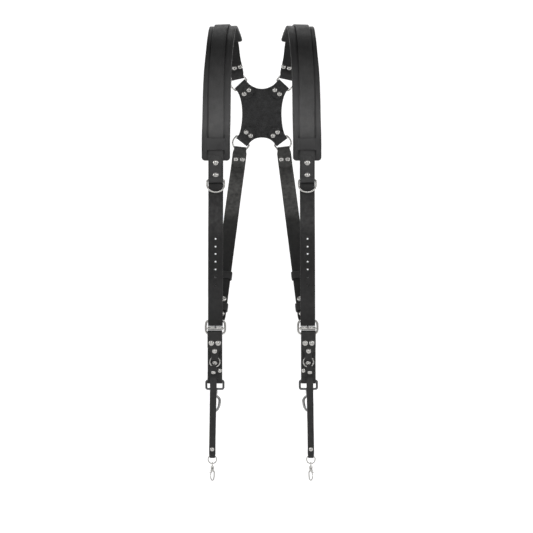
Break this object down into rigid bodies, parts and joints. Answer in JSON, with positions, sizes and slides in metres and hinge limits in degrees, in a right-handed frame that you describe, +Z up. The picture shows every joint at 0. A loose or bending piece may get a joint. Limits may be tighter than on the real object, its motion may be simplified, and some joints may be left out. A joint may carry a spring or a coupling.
{
  "type": "leather shoulder harness",
  "caption": "Leather shoulder harness with padded straps joined by a back yoke, roller buckles, and swivel snaps that hold a load at each hip.",
  "frame": {"origin": "midway between the wearer's shoulders, level with the underside of the pads at their highest point", "axes": "+Z up, -Y to the wearer's front, +X to the wearer's left"},
  "size_m": [0.2102, 0.2177, 0.8192],
  "materials": {
    "leather": "fine grained, semi-matt black",
    "nickel": "polished nickel plate",
    "snap_metal": "polished dark nickel plate"
  },
  "bodies": {
    "harness": {"yoke": "leather", "pad_left": "leather", "shoulder_strap_left": "leather", "front_strap_left": "leather", "back_strap_left": "leather", "keeper_upper_left": "leather", "keeper_lower_left": "leather", "leash_left": "leather", "safety_strap_left": "leather", "yoke_ring_upper_left": "nickel", "yoke_ring_lower_left": "nickel", "buckle_frame_left": "nickel", "o_ring_left": "nickel", "clasp_ring_left": "nickel", "clasp_eye_left": "nickel", "tongue_screw_lower_left": "nickel", "tongue_screw_upper_left": "nickel", "adjusting_screw_upper_in_left": "nickel", "adjusting_screw_upper_out_left": "nickel", "adjusting_screw_lower_in_left": "nickel", "adjusting_screw_lower_out_left": "nickel", "leash_screw_in_left": "nickel", "leash_screw_out_left": "nickel", "pad_right": "leather", "shoulder_strap_right": "leather", "front_strap_right": "leather", "back_strap_right": "leather", "keeper_upper_right": "leather", "keeper_lower_right": "leather", "leash_right": "leather", "safety_strap_right": "leather", "yoke_ring_upper_right": "nickel", "yoke_ring_lower_right": "nickel", "buckle_frame_right": "nickel", "o_ring_right": "nickel", "clasp_ring_right": "nickel", "clasp_eye_right": "nickel", "tongue_screw_lower_right": "nickel", "tongue_screw_upper_right": "nickel", "adjusting_screw_upper_in_right": "nickel", "adjusting_screw_upper_out_right": "nickel", "adjusting_screw_lower_in_right": "nickel", "adjusting_screw_lower_out_right": "nickel", "leash_screw_in_right": "nickel", "leash_screw_out_right": "nickel"},
    "front_ring_left": {"front_ring_left": "nickel"},
    "roller_left": {"buckle_roller_left": "nickel"},
    "snap_eye_left": {"snap_eye_left": "snap_metal"},
    "snap_hook_left": {"snap_hook_left": "snap_metal"},
    "snap_gate_left": {"snap_gate_left": "snap_metal"},
    "clasp_left": {"clasp_body_left": "nickel"},
    "clasp_lever_left": {"clasp_lever_left": "nickel"},
    "front_ring_right": {"front_ring_right": "nickel"},
    "roller_right": {"buckle_roller_right": "nickel"},
    "snap_eye_right": {"snap_eye_right": "snap_metal"},
    "snap_hook_right": {"snap_hook_right": "snap_metal"},
    "snap_gate_right": {"snap_gate_right": "snap_metal"},
    "clasp_right": {"clasp_body_right": "nickel"},
    "clasp_lever_right": {"clasp_lever_right": "nickel"}
  },
  "joints": [
    {"name": "front_ring_swing_left", "type": "hinge", "parent": "harness", "child": "front_ring_left", "pos_m": [0.08, -0.10595, -0.2779], "axis": [-1, 0, 0], "range_deg": [0, 140]},
    {"name": "roller_spin_left", "type": "hinge", "parent": "harness", "child": "roller_left", "pos_m": [0.0823, -0.046, -0.539], "axis": [1, 0, 0], "continuous": true},
    {"name": "snap_eye_swing_left", "type": "hinge", "parent": "harness", "child": "snap_eye_left", "pos_m": [0.0833, -0.0462, -0.6325], "axis": [1, 0, 0], "range_deg": [0, 70]},
    {"name": "snap_hook_swivel_left", "type": "hinge", "parent": "snap_eye_left", "child": "snap_hook_left", "pos_m": [0.0833, -0.0462, -0.651], "axis": [0, 0, 1], "continuous": true},
    {"name": "snap_gate_hinge_left", "type": "hinge", "parent": "snap_hook_left", "child": "snap_gate_left", "pos_m": [0.08826, -0.0462, -0.66118], "axis": [0, 1, 0], "range_deg": [0, 22], "stiffness_Nm_per_rad": 0.02, "springref_deg": -20.05},
    {"name": "clasp_swivel_left", "type": "hinge", "parent": "harness", "child": "clasp_left", "pos_m": [0.0875, -0.056, -0.785], "axis": [0, 0, 1], "continuous": true},
    {"name": "clasp_lever_hinge_left", "type": "hinge", "parent": "clasp_left", "child": "clasp_lever_left", "pos_m": [0.08995, -0.056, -0.79494], "axis": [0, 1, 0], "range_deg": [0, 22], "stiffness_Nm_per_rad": 0.02, "springref_deg": -20.05},
    {"name": "front_ring_swing_right", "type": "hinge", "parent": "harness", "child": "front_ring_right", "pos_m": [-0.08, -0.10595, -0.2779], "axis": [-1, 0, 0], "range_deg": [0, 140]},
    {"name": "roller_spin_right", "type": "hinge", "parent": "harness", "child": "roller_right", "pos_m": [-0.0823, -0.046, -0.539], "axis": [1, 0, 0], "continuous": true},
    {"name": "snap_eye_swing_right", "type": "hinge", "parent": "harness", "child": "snap_eye_right", "pos_m": [-0.0833, -0.0462, -0.6325], "axis": [1, 0, 0], "range_deg": [0, 70]},
    {"name": "snap_hook_swivel_right", "type": "hinge", "parent": "snap_eye_right", "child": "snap_hook_right", "pos_m": [-0.0833, -0.0462, -0.651], "axis": [0, 0, 1], "continuous": true},
    {"name": "snap_gate_hinge_right", "type": "hinge", "parent": "snap_hook_right", "child": "snap_gate_right", "pos_m": [-0.08826, -0.0462, -0.66118], "axis": [0, -1, 0], "range_deg": [0, 22], "stiffness_Nm_per_rad": 0.02, "springref_deg": -20.05},
    {"name": "clasp_swivel_right", "type": "hinge", "parent": "harness", "child": "clasp_right", "pos_m": [-0.0875, -0.056, -0.785], "axis": [0, 0, 1], "continuous": true},
    {"name": "clasp_lever_hinge_right", "type": "hinge", "parent": "clasp_right", "child": "clasp_lever_right", "pos_m": [-0.08995, -0.056, -0.79494], "axis": [0, -1, 0], "range_deg": [0, 22], "stiffness_Nm_per_rad": 0.02, "springref_deg": -20.05}
  ]
}
